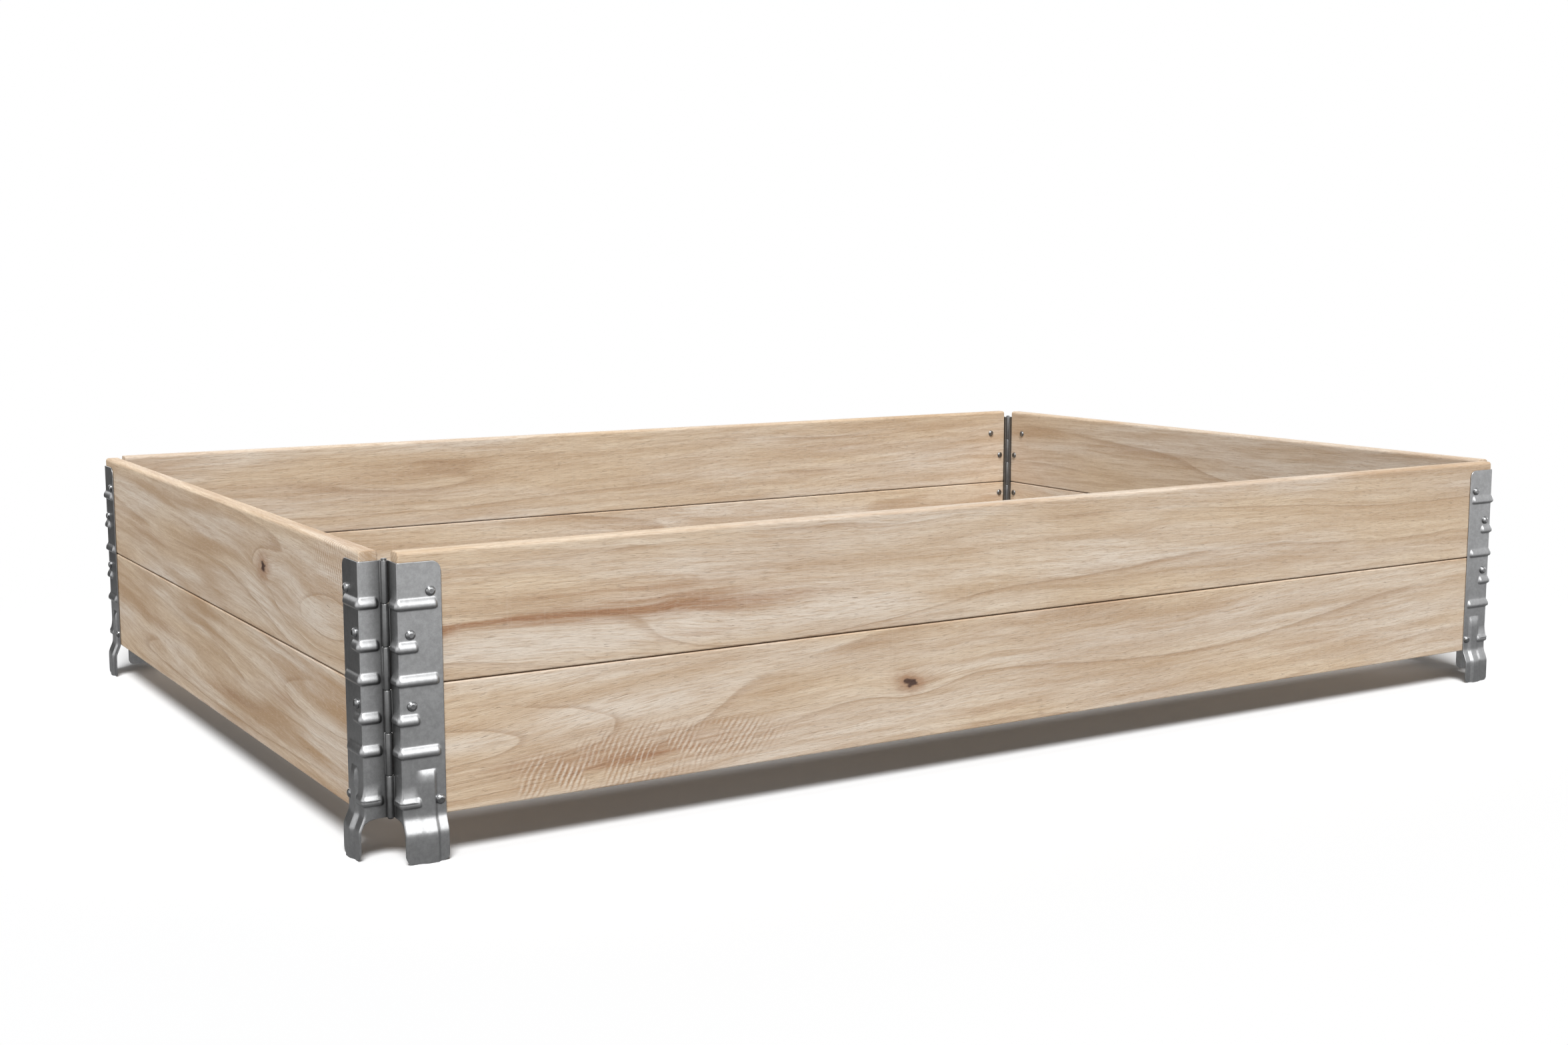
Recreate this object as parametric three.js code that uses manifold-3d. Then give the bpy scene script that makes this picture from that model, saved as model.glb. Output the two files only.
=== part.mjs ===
// Folding raised bed frame: four walls of two boards each, joined at the corners by
// pressed steel hinges whose feet carry the frame clear of the ground.
// Millimetres, +Z up. The origin is on the ground, under the middle of the frame.
import * as THREE from "three";
import { mergeVertices } from "three/addons/utils/BufferGeometryUtils.js";
import Module from "manifold-3d";

const wasm = await Module();
wasm.setup();

// Frame and boards
const frameLength = 1200; // over the outer faces of the short walls
const frameWidth = 800; // over the outer faces of the long walls
const boardHeight = 95;
const boardThickness = 14;
const boardGap = 1; // open line between the lower and the upper board
const rimRadius = 3; // rounding of the edges along the top of each wall
const arrisRadius = 1.2; // rounding of the other long edges
const endBevel = 0.8; // bevel round the sawn ends
const footDrop = 32.5; // how far the feet reach below the boards

// Fits
const seatGap = 0.3; // between pieces that rest on each other
const holeClearance = 0.3; // round a rivet's shank
const pinClearance = 0.3; // round the hinge pin
const knuckleGap = 0.3; // between a knuckle and its neighbours
const foldClearance = 0.4; // from a knuckle to a wall folded flat against it
const ribClearance = 0.1; // from a rib to the plane where two leaves meet when the corner is straight
const cutPast = 1; // how far a cutting solid runs past what it cuts

// Hinge leaves
const sheet = 1; // thickness of the pressed sheet
const leafReach = 31.2; // leaf along the board, from the board's end
const leafTopDrop = 7.6; // leaf's upper edge below the rim
const leafOverhang = 2.2; // flange's lower edge below the boards
const bendRadius = 1.6; // outside of the bend round the board's end
const topCornerRadius = 7;
const knuckleCount = 6;
const knuckleRadius = 2.6;
const knuckleProud = 0.7; // knuckles past the leaf at the top
const rollAngle = 300; // degrees of sheet rolled round the pin
const rollLead = 15; // degrees before that, where the sheet steps over from the flange

// Ribs pressed across the bend
const ribHeight = 2.4;
const ribWidth = 8.8;
const ribCrown = 3.6; // flat along the top of a rib
const ribTip = 1.6; // length of a rib's sloping end
const ribTipShare = 0.45; // width at the tip, as a share of the rib's width
const ribRoot = 0.6; // how deep a rib is rooted in the sheet
const ribEndMargin = 2.6; // rib's end short of the flange's edge
const longRibMargin = 3.2; // long rib's end short of the leaf's free edge
const shortRib = 13; // short rib's end along the board, from the board's end

// Foot with its stiffening bead
const joggle = 4.8; // foot's step outwards, to pass over a frame below
const joggleStart = 1.3; // below the boards
const joggleRun = 7;
const beadHeight = 2;
const beadMargin = 14.8; // bead's middle line short of the leaf's free edge
const beadWidth = 13.6;
const beadCrown = 8;
const beadTop = 34.4; // above the boards' lower edge
const footInnerRadius = 6;
const footOuterRadius = 4.5;
const webDepth = 9.6; // flange's web runs out on the foot, below the boards
const webStart = 5; // web's curve starts here, from the board's outer face
const webSag = 1; // how far the curve leaves the flange's lower edge before it turns down

// Pin and rivets
const pinHeadRadius = 2.25;
const pinHeadFlat = 1.7; // radius of the flat on top of the pin's head
const pinHeadHeight = 0.9;
const peenRadius = 2;
const peenHeight = 0.6;
const headRadius = 3.7;
const headHeight = 2.2;
const headFlat = 1.9; // radius of the flat on top of a rivet's head
const shankRadius = 2;
const tailRadius = 3.6;
const tailFlat = 2.5;
const tailHeight = 1.8;

// Facets
const bendSteps = 2;
const rollSteps = 7; // round a knuckle
const cornerSteps = 3;
const rimSteps = 2;
const arrisSteps = 1;
const roundSides = 8;

// Levels and places that follow from the sizes above
const underside = footDrop;
const lowerBoardTop = underside + boardHeight;
const upperBoardBottom = lowerBoardTop + boardGap;
const rim = upperBoardBottom + boardHeight;
const endClear = seatGap + sheet + ribHeight + ribClearance; // hinge axis to the boards' sawn ends
const innerClear = knuckleRadius + foldClearance; // hinge axis to the inner faces of the boards
const axisInset = boardThickness + innerClear; // outer face to hinge axis
const boardInset = axisInset + endClear; // outer face to the end of the next wall's boards
const leafTop = rim - leafTopDrop;
const leafBottom = underside - leafOverhang;
const footTop = underside - joggleStart / 2; // the foot and the web join the plate here
const knuckleTop = leafTop + knuckleProud;
const knucklePitch = (knuckleTop - leafBottom) / knuckleCount;
const pinRadius = knuckleRadius - sheet - pinClearance;
const outerSkin = -(seatGap + sheet); // outside of a leaf, against the board's outer face at 0
const flangeSkin = boardInset - seatGap - sheet; // outside of a leaf's flange
const leafEdge = boardInset + leafReach;
const beadMiddle = leafEdge - beadMargin;
const knuckleReach = knuckleRadius + knuckleGap;
const flangeOffset = flangeSkin - axisInset;
const flangeEdge = axisInset - Math.sqrt(Math.max(knuckleReach ** 2 - flangeOffset ** 2, 0));
const ribStart = flangeEdge - ribEndMargin;
const longRib = leafReach - longRibMargin;

// Each rib's level, and how far along the board it runs
const ribs = [
  { level: rim - 37.2, reach: longRib },
  { level: rim - 67.6, reach: shortRib },
  { level: upperBoardBottom + 3.5, reach: longRib },
  { level: lowerBoardTop - 23.7, reach: shortRib },
  { level: underside + 47.6, reach: longRib },
  { level: underside + 11.4, reach: shortRib },
];

// Each rivet's level, and its distance from the board's end
const rivets = [
  { level: rim - 28.7, along: leafReach - 8.2, board: "upper" },
  { level: rim - 58.8, along: 7.4, board: "upper" },
  { level: lowerBoardTop - 13.8, along: 7.4, board: "lower" },
  { level: underside + 11.5, along: leafReach - 4.2, board: "lower" },
];

const wood = () => new THREE.MeshStandardMaterial({ color: 0xc9ad8c, roughness: 0.75, metalness: 0 });
const zinc = () => new THREE.MeshStandardMaterial({ color: 0x8f9294, roughness: 0.38, metalness: 0.9 });
const steel = () => new THREE.MeshStandardMaterial({ color: 0xa3a5a6, roughness: 0.3, metalness: 0.95 });

// A closed geometry as a solid that can be joined and cut.
function solidOf(geometry) {
  const bare = geometry.clone();
  bare.deleteAttribute("normal");
  bare.deleteAttribute("uv");
  const merged = mergeVertices(bare, 1e-4);
  return new wasm.Manifold(
    new wasm.Mesh({
      numProp: 3,
      vertProperties: new Float32Array(merged.attributes.position.array),
      triVerts: new Uint32Array(merged.index.array),
    }),
  );
}

function geometryOf(solid) {
  const mesh = solid.getMesh();
  const geometry = new THREE.BufferGeometry();
  geometry.setAttribute("position", new THREE.BufferAttribute(mesh.vertProperties, 3));
  geometry.setIndex(new THREE.BufferAttribute(mesh.triVerts, 1));
  geometry.computeVertexNormals();
  return geometry;
}

const joined = (solids) => solids.reduce((all, next) => all.add(next));

// A solid extruded along Z between two levels.
function prism(points, bottom, top) {
  const shape = new THREE.Shape(points);
  const depth = top - bottom;
  const geometry = new THREE.ExtrudeGeometry(shape, { depth, bevelEnabled: false, steps: 1 });
  return solidOf(geometry.translate(0, 0, bottom));
}

// Turns an extrusion along Z into one along X, with its outline in Y and Z.
function alongX(geometry) {
  const turn = new THREE.Matrix4().makeBasis(
    new THREE.Vector3(0, 1, 0),
    new THREE.Vector3(0, 0, 1),
    new THREE.Vector3(1, 0, 0),
  );
  return geometry.applyMatrix4(turn);
}

// A solid whose outline is given in Y and Z, extruded along X.
function crossPrism(points, from, to) {
  const shape = new THREE.Shape(points);
  const geometry = new THREE.ExtrudeGeometry(shape, { depth: to - from, bevelEnabled: false, steps: 1 });
  return solidOf(alongX(geometry).translate(from, 0, 0));
}

// A solid whose outline is given in X and Z, extruded along Y.
function facePrism(points, from, to) {
  const shape = new THREE.Shape(points);
  const geometry = new THREE.ExtrudeGeometry(shape, { depth: to - from, bevelEnabled: false, steps: 1 });
  return solidOf(geometry.rotateX(Math.PI / 2).translate(0, to, 0));
}

// A straight round bar along Y, with its faces flat to the ends.
function crossBar(radius, from, to, x, z) {
  const geometry = new THREE.CylinderGeometry(radius, radius, to - from, roundSides);
  return solidOf(geometry.translate(x, (from + to) / 2, z));
}

function arc(x, y, radius, fromDegrees, toDegrees, steps) {
  return Array.from({ length: steps + 1 }, (_, i) => {
    const angle = THREE.MathUtils.degToRad(fromDegrees + ((toDegrees - fromDegrees) * i) / steps);
    return new THREE.Vector2(x + radius * Math.cos(angle), y + radius * Math.sin(angle));
  });
}

// A point's offset to the left of a path, mitred where the path turns.
function mitre(path, i, offset) {
  const here = path[i];
  const before = here.clone().sub(path[Math.max(i - 1, 0)]);
  const after = path[Math.min(i + 1, path.length - 1)].clone().sub(here);
  const a = (before.length() ? before : after).clone().normalize();
  const b = (after.length() ? after : before).clone().normalize();
  const tangent = a.clone().add(b).normalize();
  const normal = new THREE.Vector2(-tangent.y, tangent.x);
  return here.clone().addScaledVector(normal, offset / tangent.dot(a));
}

// The outline of a strip of sheet that has this path as its middle line.
function strip(path, thickness) {
  const left = path.map((_, i) => mitre(path, i, thickness / 2));
  const right = path.map((_, i) => mitre(path, i, -thickness / 2));
  return [...right, ...left.reverse()];
}

// A closed solid through a row of sections that have the same number of points.
function loft(sections) {
  const count = sections[0].length;
  const positions = sections.flat().flatMap((p) => [p.x, p.y, p.z]);
  const faces = [];
  for (let i = 0; i + 1 < sections.length; i++) {
    for (let j = 0; j < count; j++) {
      const a = i * count + j;
      const b = i * count + ((j + 1) % count);
      faces.push(a, b, b + count, a, b + count, a + count);
    }
  }
  const last = (sections.length - 1) * count;
  for (let j = 1; j + 1 < count; j++) {
    faces.push(0, j + 1, j, last, last + j, last + j + 1);
  }
  const geometry = new THREE.BufferGeometry();
  geometry.setAttribute("position", new THREE.Float32BufferAttribute(positions, 3));
  geometry.setIndex(faces);
  const solid = solidOf(geometry);
  if (solid.volume() > 0) return solid;
  geometry.setIndex(faces.reverse());
  return solidOf(geometry);
}

// A pressed ridge along a row of places on the sheet. Each place gives a point on the
// outside of the sheet, the way out of the sheet, and a share of the full height.
// The section is a crown on two slopes, given across the ridge and out of the sheet.
function ridge(places, across, { width, height, base, crown }) {
  const foot = width / 2 + base / 2;
  const top = crown ? [-crown / 2, crown / 2] : [0];
  const section = [[-foot, -base], ...top.map((side) => [side, height]), [foot, -base]];
  return loft(
    places.map(({ point, out, share }) =>
      section.map(([side, rise]) => {
        const level = rise < 0 ? rise : THREE.MathUtils.lerp(-base / 2, rise, share);
        const spread = THREE.MathUtils.lerp(ribTipShare, 1, share);
        return point.clone().addScaledVector(out, level).addScaledVector(across, side * spread);
      }),
    ),
  );
}

// The hollow that pressing leaves behind a ridge.
function hollowOf({ width, height, crown }) {
  const base = sheet + seatGap;
  return { width: width - 2 * sheet, height: height - sheet, base, crown: crown - sheet };
}

// The places of a rib: along the flange, round the bend and along the board.
function ribPlaces(level, reach, steps) {
  const bendX = flangeSkin + bendRadius;
  const bendY = outerSkin + bendRadius;
  const place = (x, y, outX, outY, share) => ({
    point: new THREE.Vector3(x, y, level),
    out: new THREE.Vector3(outX, outY, 0),
    share,
  });
  const bend = arc(0, 0, 1, 180, 270, steps).map((out) =>
    place(bendX + bendRadius * out.x, bendY + bendRadius * out.y, out.x, out.y, 1),
  );
  return [
    place(flangeSkin, ribStart, -1, 0, 0),
    place(flangeSkin, ribStart - ribTip, -1, 0, 1),
    ...bend,
    place(boardInset + reach - ribTip, outerSkin, 0, -1, 1),
    place(boardInset + reach, outerSkin, 0, -1, 0),
  ];
}

// The outside of the leaf's lower part, from the plate down the joggle to the foot: Y and Z.
function footLine(top, bottom, offset) {
  const bendHigh = underside - joggleStart;
  const bendLow = bendHigh - joggleRun;
  const line = [
    new THREE.Vector2(outerSkin, top),
    new THREE.Vector2(outerSkin, bendHigh),
    new THREE.Vector2(outerSkin - joggle, bendLow),
    new THREE.Vector2(outerSkin - joggle, bottom),
  ];
  return line.map((_, i) => mitre(line, i, offset));
}

// The places of the foot's bead, from its top on the plate to below the foot.
function beadPlaces() {
  const x = beadMiddle;
  const top = underside + beadTop;
  const skin = footLine(top - ribTip, -cutPast, 0);
  const crest = footLine(top - ribTip, -cutPast, -1);
  const places = skin.map((p, i) => ({
    point: new THREE.Vector3(x, p.x, p.y),
    out: new THREE.Vector3(0, crest[i].x - p.x, crest[i].y - p.y),
    share: 1,
  }));
  const tip = { point: new THREE.Vector3(x, outerSkin, top), out: new THREE.Vector3(0, -1, 0), share: 0 };
  return [tip, ...places];
}

// The middle line of the sheet from the plate's free edge round the bend to the flange's edge.
function platePath() {
  const middleX = flangeSkin + sheet / 2;
  const middleY = outerSkin + sheet / 2;
  const radius = bendRadius - sheet / 2;
  const bend = arc(middleX + radius, middleY + radius, radius, 270, 180, bendSteps);
  return [new THREE.Vector2(leafEdge, middleY), ...bend, new THREE.Vector2(middleX, flangeEdge)];
}

// The middle line of the sheet from the flange round the pin.
function knucklePath() {
  const radius = knuckleRadius - sheet / 2;
  const middleX = flangeSkin + sheet / 2;
  const start = new THREE.Vector2(middleX, flangeEdge - sheet / 2);
  return [start, ...arc(axisInset, axisInset, radius, -rollLead, rollAngle, rollSteps)];
}

// The leaf's knuckles: every second one, from the top or from the next one down.
function knuckles(first) {
  const outline = strip(knucklePath(), sheet);
  const levels = [];
  for (let i = first; i < knuckleCount; i += 2) levels.push(knuckleTop - i * knucklePitch);
  return levels.map((top) => prism(outline, top - knucklePitch + knuckleGap / 2, top - knuckleGap / 2));
}

// The outline that the plate and the foot are cut to, seen from outside: X and Z.
function leafOutline() {
  const inner = flangeSkin;
  const clearOfRibs = inner - 2 * ribHeight;
  return [
    ...arc(inner + footInnerRadius, footInnerRadius, footInnerRadius, 180, 270, cornerSteps),
    ...arc(leafEdge - footOuterRadius, footOuterRadius, footOuterRadius, 270, 360, cornerSteps),
    ...arc(leafEdge - topCornerRadius, leafTop - topCornerRadius, topCornerRadius, 0, 90, cornerSteps),
    new THREE.Vector2(clearOfRibs, leafTop),
    new THREE.Vector2(clearOfRibs, leafBottom),
    new THREE.Vector2(inner, leafBottom),
  ];
}

// The web that carries the flange down on to the foot, with its hollow lower edge: Y and Z.
function webOutline() {
  const bendHigh = underside - joggleStart;
  const webEnd = underside - webDepth;
  const outside = outerSkin - joggle;
  const curve = new THREE.QuadraticBezierCurve(
    new THREE.Vector2(webStart, leafBottom),
    new THREE.Vector2(outerSkin - joggle / 2, leafBottom - webSag),
    new THREE.Vector2(outside, webEnd),
  );
  return [
    new THREE.Vector2(outerSkin, footTop),
    new THREE.Vector2(outerSkin, bendHigh),
    new THREE.Vector2(outside, bendHigh - joggleRun),
    ...curve.getPoints(cornerSteps).reverse(),
    new THREE.Vector2(flangeEdge, leafBottom),
    new THREE.Vector2(flangeEdge, footTop),
  ];
}

// One leaf of a hinge, on the wall that runs along +X from a corner at the origin. The
// wall's outer face is at Y = 0, and the flange stands across the ends of its boards.
function leaf(firstKnuckle) {
  const plate = prism(strip(platePath(), sheet), leafBottom, leafTop);
  const footStrip = strip(footLine(footTop, -cutPast, sheet / 2), sheet);
  const foot = crossPrism(footStrip, flangeSkin, leafEdge);
  const web = crossPrism(webOutline(), flangeSkin, flangeSkin + sheet);
  const rib = { width: ribWidth, height: ribHeight, base: ribRoot, crown: ribCrown };
  const bead = { width: beadWidth, height: beadHeight, base: ribRoot, crown: beadCrown };
  const ribHollow = { ...hollowOf(rib), crown: 0 };
  const beadHollow = hollowOf(bead);
  const up = new THREE.Vector3(0, 0, 1);
  const along = new THREE.Vector3(1, 0, 0);

  const crests = ribs.map(({ level, reach }) => ridge(ribPlaces(level, reach, bendSteps), up, rib));
  const hollows = ribs.map(({ level, reach }) => {
    const betweenTips = ribPlaces(level, reach, 1).slice(1, -1);
    return ridge(betweenTips, up, ribHollow);
  });
  crests.push(ridge(beadPlaces(), along, bead));
  hollows.push(ridge(beadPlaces().slice(1), along, beadHollow));

  const outline = facePrism(leafOutline(), outerSkin - joggle - beadHeight - cutPast, boardInset + cutPast);
  const holes = rivets.map(({ level, along: distance }) =>
    crossBar(shankRadius + holeClearance, outerSkin - cutPast, cutPast, boardInset + distance, level),
  );
  const pressed = joined([plate, foot, web, ...crests]).subtract(joined(hollows)).intersect(outline);
  return geometryOf(joined([pressed, ...knuckles(firstKnuckle)]).subtract(joined(holes)));
}

// The pin of a hinge: headed at the top, peened over at the bottom.
function pin() {
  const top = knuckleTop + seatGap;
  const bottom = leafBottom - seatGap;
  const head = [
    [pinRadius, top],
    [pinHeadRadius, top],
    [pinHeadFlat, top + pinHeadHeight],
    [0, top + pinHeadHeight],
  ];
  const peen = [
    [0, bottom - peenHeight],
    [pinRadius, bottom - peenHeight],
    [peenRadius, bottom],
    [pinRadius, bottom],
  ];
  const profile = [...peen, ...head].map(([radius, z]) => new THREE.Vector2(radius, z));
  return new THREE.LatheGeometry(profile, roundSides).rotateX(Math.PI / 2);
}

// A rivet through the leaf and a board, along Y with its head at -Y: the head is a low
// cone with a flat, and the tail is spread on the inside of the board.
function rivet() {
  const seat = outerSkin - seatGap;
  const inside = boardThickness + seatGap;
  const outline = [
    [0, seat - headHeight],
    [headFlat, seat - headHeight],
    [headRadius, seat],
    [shankRadius, seat],
    [shankRadius, inside],
    [tailRadius, inside],
    [tailFlat, inside + tailHeight],
    [0, inside + tailHeight],
  ];
  const profile = outline.map(([radius, y]) => new THREE.Vector2(radius, y));
  return new THREE.LatheGeometry(profile, roundSides);
}

// A board along X, standing on its edge, with its outer face at Y = 0 and with the holes
// for its own rivets at both ends.
function board(length, bottom, upperRadius, upperSteps, name) {
  const inset = endBevel;
  const low = bottom + inset;
  const high = bottom + boardHeight - inset;
  const near = inset;
  const far = boardThickness - inset;
  const small = arrisRadius;
  const outline = [
    ...arc(near + small, low + small, small, 180, 270, arrisSteps),
    ...arc(far - small, low + small, small, 270, 360, arrisSteps),
    ...arc(far - upperRadius, high - upperRadius, upperRadius, 0, 90, upperSteps),
    ...arc(near + upperRadius, high - upperRadius, upperRadius, 90, 180, upperSteps),
  ];
  const geometry = new THREE.ExtrudeGeometry(new THREE.Shape(outline), {
    depth: length - 2 * endBevel,
    steps: 1,
    bevelThickness: endBevel,
    bevelSize: endBevel,
    bevelSegments: 1,
  });
  const plank = solidOf(alongX(geometry).translate(boardInset + endBevel, 0, 0));
  const own = rivets.filter((r) => r.board === name);
  const wallLength = length + 2 * boardInset;
  const holes = own.flatMap(({ level, along }) =>
    [boardInset + along, wallLength - boardInset - along].map((x) =>
      crossBar(shankRadius + holeClearance, -cutPast, boardThickness + cutPast, x, level),
    ),
  );
  return geometryOf(plank.subtract(joined(holes)));
}

function piece(name, geometry, material) {
  const mesh = new THREE.Mesh(geometry, material);
  mesh.name = name;
  return mesh;
}

// The walls, in order anticlockwise from above, each along +X from its own corner.
const walls = [
  { name: "front", length: frameLength, corner: [-frameLength / 2, -frameWidth / 2] },
  { name: "right", length: frameWidth, corner: [frameLength / 2, -frameWidth / 2] },
  { name: "back", length: frameLength, corner: [frameLength / 2, frameWidth / 2] },
  { name: "left", length: frameWidth, corner: [-frameLength / 2, frameWidth / 2] },
];
const cornerNames = ["front_left", "front_right", "back_right", "back_left"];

// The leaf at a wall's start has the second, fourth and sixth knuckles, and the leaf at
// its end has the others, so the two leaves of a corner mesh on one pin.
const startLeaf = leaf(1);
const endLeaf = leaf(0);
const hingePin = pin();
const wallRivet = rivet();

function wall({ name, length, corner }, index) {
  const group = new THREE.Group();
  group.position.set(corner[0], corner[1], 0);
  group.rotation.z = (index * Math.PI) / 2;
  const boardLength = length - 2 * boardInset;
  const lower = board(boardLength, underside, arrisRadius, arrisSteps, "lower");
  const upper = board(boardLength, upperBoardBottom, rimRadius, rimSteps, "upper");
  group.add(piece(`${name}_lower_board`, lower, wood()));
  group.add(piece(`${name}_upper_board`, upper, wood()));

  const before = cornerNames[index];
  const after = cornerNames[(index + 1) % 4];
  group.add(piece(`${name}_wall_leaf_at_${before}`, startLeaf, zinc()));
  const mirrored = piece(`${name}_wall_leaf_at_${after}`, endLeaf, zinc());
  mirrored.position.x = length;
  mirrored.scale.x = -1;
  group.add(mirrored);

  const turningPin = piece(`hinge_pin_${after}`, hingePin, steel());
  turningPin.position.set(length - axisInset, axisInset, 0);
  group.add(turningPin);

  rivets.forEach(({ level, along }, i) => {
    const first = piece(`${name}_wall_rivet_${i + 1}_at_${before}`, wallRivet, steel());
    first.position.set(boardInset + along, 0, level);
    const second = piece(`${name}_wall_rivet_${i + 1}_at_${after}`, wallRivet, steel());
    second.position.set(length - boardInset - along, 0, level);
    group.add(first, second);
  });
  return group;
}

const frame = new THREE.Group();
frame.name = "raised_bed_frame";
walls.forEach((each, index) => frame.add(wall(each, index)));

export default frame;
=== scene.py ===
"""Finish of a folding raised bed frame: planed boards, pressed hinge leaves, pins and rivets.

Metres, +Z up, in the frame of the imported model. Every new surface is a function of two
parameters, worked out as whole arrays. The sizes of a leaf, a pin and a rivet are written in
millimetres, and place() turns them into metres.
"""
import math

import bpy
import numpy as np
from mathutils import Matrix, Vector


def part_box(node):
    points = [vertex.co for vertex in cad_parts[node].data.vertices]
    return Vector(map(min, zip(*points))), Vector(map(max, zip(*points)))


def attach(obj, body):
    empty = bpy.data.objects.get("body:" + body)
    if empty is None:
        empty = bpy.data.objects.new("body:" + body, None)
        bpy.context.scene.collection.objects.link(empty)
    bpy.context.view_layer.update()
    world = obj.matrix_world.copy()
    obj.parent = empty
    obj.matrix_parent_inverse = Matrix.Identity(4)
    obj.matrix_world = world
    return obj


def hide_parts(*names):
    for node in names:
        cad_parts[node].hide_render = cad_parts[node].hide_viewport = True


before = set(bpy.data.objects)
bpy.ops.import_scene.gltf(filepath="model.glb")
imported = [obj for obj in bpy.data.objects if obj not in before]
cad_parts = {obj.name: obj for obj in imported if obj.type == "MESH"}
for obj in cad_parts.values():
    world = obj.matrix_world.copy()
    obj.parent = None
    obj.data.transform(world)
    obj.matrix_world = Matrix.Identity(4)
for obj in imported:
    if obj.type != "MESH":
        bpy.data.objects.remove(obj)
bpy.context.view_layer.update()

MM = 0.001
UP = np.array((0.0, 0.0, 1.0))

# Each wall: the corners where it starts and ends, its way along and its way in
WALLS = {
    "front": ("front_left", "front_right", (1, 0, 0), (0, 1, 0)),
    "right": ("front_right", "back_right", (0, 1, 0), (-1, 0, 0)),
    "back": ("back_right", "back_left", (-1, 0, 0), (0, -1, 0)),
    "left": ("back_left", "front_left", (0, -1, 0), (1, 0, 0)),
}

# Levels of the boards, in millimetres
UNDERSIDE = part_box("front_lower_board")[0].z / MM
LOWER_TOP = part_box("front_lower_board")[1].z / MM
UPPER_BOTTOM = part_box("front_upper_board")[0].z / MM
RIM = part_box("front_upper_board")[1].z / MM

# Board edges
RIM_RADIUS = 3.0
ARRIS_RADIUS = 1.2
END_BEVEL = 0.8
ARRIS_STEPS = 6
SIDE_LEAD = 0.8  # each straight side has a point this far from its corner
BEVEL_RINGS = 4
END_LEAD = 2.0  # the first and last plain section of a board, from its ends
BOARD_RINGS = 14
END_DRAW = 0.06  # share by which the ring inside an end is drawn in

# Leaf, in millimetres from the boards' sawn end, from their outer face and from the ground
SHEET = 1.0
EDGE_ROUND = 0.2  # the rounded edge of the sheet stands out by this much
SKIN = -1.3  # outside of the plate, past the boards' outer face
FLANGE_SKIN = -1.3  # outside of the flange, past the boards' end
FLANGE_EDGE = 16.75
FLANGE_TUCK = 0.15  # the flange's free edge gives way to the knuckles by this much
FLANGE_TUCK_RUN = (15.0, 15.9)  # from here to here, inwards
LEAF_REACH = 31.2
LEAF_TOP = RIM - 7.6
LEAF_BOTTOM = UNDERSIDE - 2.2
BEND = 1.6
BEND_START = FLANGE_SKIN + BEND
TOP_CORNER = 7.0
FOOT_OUTER_CORNER = 4.5
FOOT_INNER_CORNER = 6.0
CORNER_ZONE = 12.0  # rows nearer to the top or the ground than this follow the cut corners
JOGGLE = 4.8
JOGGLE_HIGH = UNDERSIDE - 0.4
JOGGLE_LOW = UNDERSIDE - 10.2
JOGGLE_EASE = 2.2  # rounding where the step starts and ends
WEB_START = 5.0
WEB_SAG = 1.0
WEB_HOLLOW = 1.2  # the web's curve is drawn this far out of the plate
WEB_TIP = 0.4  # from the bend to where the web's curve starts

# Rows where the web's curve starts and ends, its straight edge ends, and rows lie level again
WEB_LEVELS = (22.5, 28.0, 33.0, 45.0)

# Ribs: level, and where the rib ends along the board
RIBS = (
    (RIM - 37.2, 28.0),
    (RIM - 67.6, 13.0),
    (UPPER_BOTTOM + 3.5, 28.0),
    (LOWER_TOP - 23.7, 13.0),
    (UNDERSIDE + 47.6, 28.0),
    (UNDERSIDE + 11.4, 13.0),
)
RIB_RISE = 2.38
RIB_CREST = -1.4  # the crest lies this far under the middle of the rib
RIB_UPPER = 5.4  # run of the long upper slope
RIB_LOWER = 2.8  # run of the short lower slope
RIB_UPPER_POWER = 2.0
RIB_LOWER_POWER = 2.8
RIB_END = 3.0  # length over which a rib runs out
RIB_END_POWER = 2.2
RIB_ROOT = 0.5  # softness where a rib leaves the sheet
RIB_MARGIN = 3.9  # a rib's end short of the flange's edge
RIB_LIMIT = 2.46  # two flanges with ribs of this rise clear each other when a corner opens flat
RIB_EASE = 0.05
COVE_RISE = 2.1  # hollow slope that leads down to the lowest rib
COVE_LENGTH = 12.5
COVE_POWER = 1.8
COVE_PLATE_END = 7.0  # length over which the slope runs out on the plate
COVE_FLANGE_END = 5.0  # and on the flange

# Bead of the foot, across from the free edge of the leaf
BEAD_RISE = 2.0
BEAD_RIGHT = (LEAF_REACH - 6.3, LEAF_REACH - 9.6)
BEAD_LEFT = (LEAF_REACH - 23.0, LEAF_REACH - 15.8)
BEAD_TOP = UNDERSIDE + 34.4
BEAD_TIP = 11.0  # length over which the bead's top rises
BEAD_TIP_POWER = 2.8
MEET_POWER = 3.0  # how sharply a rib and the bead meet

# Rows of a leaf, and its columns on plate, bend and flange
ROW_PITCH = 0.4  # over the ribs, the joggle, the bead's top and both ends
WIDE_PITCH = 2.4
RIB_ROWS = 5.6  # close rows reach this far to both sides of a rib
FOOT_ROWS = (18.0, UNDERSIDE + 24.0)  # rows here lie two pitches apart
JOGGLE_ROWS = 3.0
BEAD_ROWS = (4.0, 1.0)  # below and above the bead's top
GROUND_ROWS = 8.0
TOP_ROWS = 10.0
PLATE_PITCH = 0.5
BEND_COLUMNS = 9
FLANGE_COLUMNS = 26

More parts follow.
